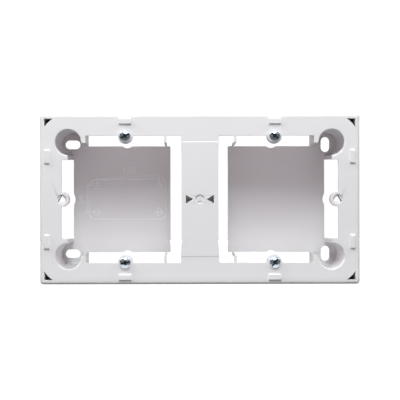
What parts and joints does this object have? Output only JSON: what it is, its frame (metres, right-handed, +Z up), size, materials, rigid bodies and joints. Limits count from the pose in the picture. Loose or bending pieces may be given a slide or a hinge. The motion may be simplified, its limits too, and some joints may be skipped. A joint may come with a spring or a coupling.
{
  "type": "double surface mount box",
  "caption": "Open-fronted wall box with two bays side by side, for wiring devices held by screws, with a slotted well in each corner for the wall screws.",
  "frame": {"origin": "centre of the back, on the wall", "axes": "+Y points into the wall, so the front faces -Y; +X is to the right seen from the front, along the long side; +Z is up"},
  "size_m": [0.1516, 0.044, 0.0804],
  "materials": {
    "white_plastic": "satin moulded thermoplastic, white",
    "zinc_steel": "zinc plated, bright"
  },
  "bodies": {
    "root": {"box_body": "white_plastic", "device_screw_top_left": "zinc_steel", "device_screw_top_right": "zinc_steel", "device_screw_bottom_left": "zinc_steel", "device_screw_bottom_right": "zinc_steel"}
  },
  "joints": []
}
